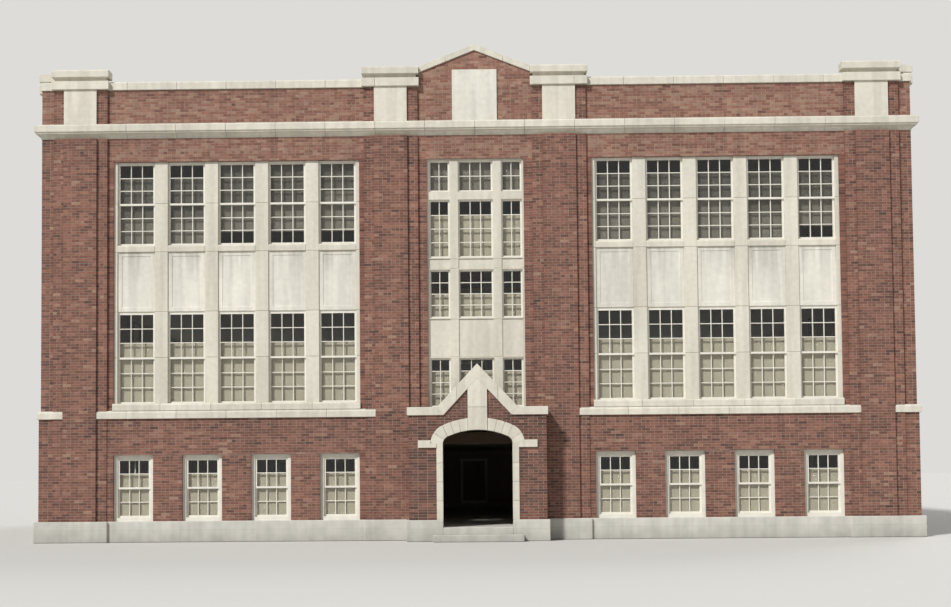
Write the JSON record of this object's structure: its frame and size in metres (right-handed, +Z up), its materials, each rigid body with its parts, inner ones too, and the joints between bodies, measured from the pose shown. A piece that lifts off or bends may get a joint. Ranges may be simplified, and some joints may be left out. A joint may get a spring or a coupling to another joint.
{
  "type": "school building",
  "caption": "Two-storey brick school on a raised basement, with stone trim, grouped sash windows, a gabled parapet and an arched stone entrance porch; hollow, with floors.",
  "frame": {"origin": "on the ground under the middle of the brick plan", "axes": "+Z up, -Y out of the entrance front, +X to the right of someone who faces the entrance"},
  "size_m": [22.03, 19.595, 12.385],
  "materials": {
    "brick": "matte",
    "limestone": "matte",
    "concrete": "matte",
    "roofing": "matte",
    "floor": "satin",
    "painted_wood": "satin",
    "shade_cloth": "matte",
    "window_glass": "gloss"
  },
  "bodies": {
    "root": {"ground_slab": "concrete", "rear_floors": "floor", "front_floors": "floor", "roof_slab": "roofing", "foundation_walls": "concrete", "front_and_rear_base_walls": "brick", "side_base_walls": "brick", "front_and_rear_piers": "brick", "side_piers": "brick", "front_and_rear_friezes": "brick", "side_friezes": "brick", "pilasters": "brick", "belt_course": "limestone", "cornice": "limestone", "front_and_rear_parapets": "brick", "side_parapets": "brick", "parapet_coping": "limestone", "pier_blocks": "limestone", "pier_caps": "limestone", "gable_wall": "brick", "gable_coping": "limestone", "gable_tablet": "limestone", "window_sills": "limestone", "window_mullions": "limestone", "spandrel_panels": "limestone", "basement_sashes": "painted_wood", "first_floor_sashes": "painted_wood", "second_floor_sashes": "painted_wood", "basement_glass": "window_glass", "first_floor_glass": "window_glass", "second_floor_glass": "window_glass", "stair_window_frame": "limestone", "stair_window_sashes": "painted_wood", "stair_window_glass": "window_glass", "door_head_wall": "brick", "porch_foundations": "concrete", "porch_front_piers": "brick", "porch_side_walls": "brick", "porch_jambs": "limestone", "porch_imposts": "limestone", "arch_stones": "limestone", "porch_keystone": "limestone", "porch_gable_wall": "brick", "porch_gable_coping": "limestone", "porch_shoulder_copings": "limestone", "porch_roof": "roofing", "entrance_floor": "concrete", "entrance_step": "concrete"}
  },
  "joints": []
}
